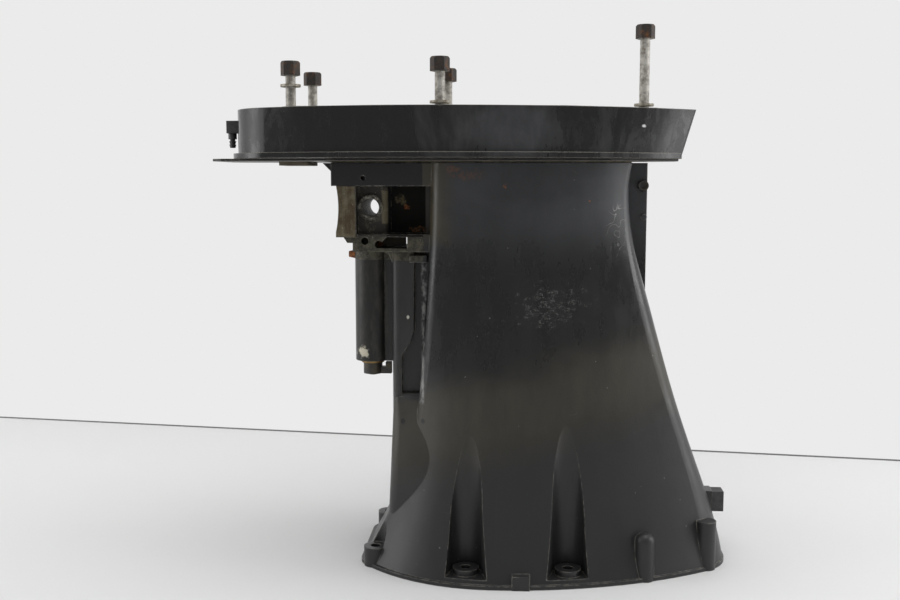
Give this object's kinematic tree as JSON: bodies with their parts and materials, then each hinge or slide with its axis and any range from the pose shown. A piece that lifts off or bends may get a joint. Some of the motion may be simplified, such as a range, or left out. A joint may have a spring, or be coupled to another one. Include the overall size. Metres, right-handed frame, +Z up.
{
  "type": "outboard motor mid-section housing",
  "caption": "Flared cast leg of an outboard motor with a cowl pan on top, joining powerhead to gearcase and carrying the exhaust, water and shift parts.",
  "frame": {"origin": "on the driveshaft axis, in the plane of the gearcase joint face, midway between the two fore bolts", "axes": "+X aft, +Y to starboard, +Z up along the driveshaft"},
  "size_m": [0.5285, 0.245, 0.551],
  "materials": {
    "black_paint": "worn semi-gloss black paint over an aluminium casting",
    "plate_paint": "dull black paint over steel plate",
    "cast_aluminium": "dull cast aluminium",
    "heat_stained": "heat-stained cast aluminium",
    "corroded_steel": "corroded zinc-plated steel",
    "rusty_steel": "rust",
    "dark_steel": "oily dark steel",
    "stainless": "dull stainless steel",
    "bronze": "bearing bronze",
    "black_rubber": "matt rubber",
    "gasket_sheet": "dirty gasket sheet",
    "black_plastic": "moulded plastic"
  },
  "bodies": {
    "housing": {"leg_casing": "black_paint", "pan_gasket": "gasket_sheet", "shelf_plate": "plate_paint", "seal_strip": "gasket_sheet", "cowl_pan": "black_paint", "exhaust_adapter": "cast_aluminium", "adapter_gasket": "gasket_sheet", "adapter_screws": "dark_steel", "top_dowels": "dark_steel", "exhaust_tube": "heat_stained", "exhaust_tube_screws": "dark_steel", "barrel_lock_screw": "rusty_steel", "rear_pin": "dark_steel", "trailing_plug": "black_rubber", "elbow_body": "black_paint", "elbow_barb": "black_plastic", "elbow_nut": "stainless", "water_tube": "stainless", "water_tube_grommet": "black_rubber", "water_tube_guide": "black_rubber", "driveshaft_bush": "bronze", "driveshaft_seal": "black_rubber", "shift_bush_lower": "bronze", "shift_bush_upper": "bronze"},
    "front_port_bolt": {"front_bolt_port": "corroded_steel", "front_washer": "corroded_steel"},
    "front_starboard_bolt": {"front_bolt_starboard": "corroded_steel"},
    "mid_port_bolt": {"mid_bolt_port": "corroded_steel", "mid_washer": "corroded_steel"},
    "mid_starboard_bolt": {"mid_bolt_starboard": "corroded_steel"},
    "rear_long_bolt": {"rear_bolt": "corroded_steel", "rear_washer": "corroded_steel"},
    "shift_gear": {"shift_shaft": "dark_steel", "shift_arm": "dark_steel", "shift_arm_screw": "rusty_steel", "shift_washer": "bronze", "shift_lever": "dark_steel"}
  },
  "joints": [
    {"name": "front_port_bolt_slide", "type": "slide", "parent": "housing", "child": "front_port_bolt", "axis": [0, 0, 1], "range_m": [-0.011, 0.025]},
    {"name": "front_starboard_bolt_slide", "type": "slide", "parent": "housing", "child": "front_starboard_bolt", "axis": [0, 0, 1], "range_m": [-0.011, 0.025]},
    {"name": "mid_port_bolt_slide", "type": "slide", "parent": "housing", "child": "mid_port_bolt", "axis": [0, 0, 1], "range_m": [-0.0023, 0.025]},
    {"name": "mid_starboard_bolt_slide", "type": "slide", "parent": "housing", "child": "mid_starboard_bolt", "axis": [0, 0, 1], "range_m": [-0.011, 0.025]},
    {"name": "rear_bolt_slide", "type": "slide", "parent": "housing", "child": "rear_long_bolt", "axis": [0, 0, 1], "range_m": [-0.0023, 0.025]},
    {"name": "shift_turn", "type": "hinge", "parent": "housing", "child": "shift_gear", "pos_m": [-0.104, 0, 0.26], "axis": [0, 0, 1], "range_deg": [-15, 15]}
  ]
}
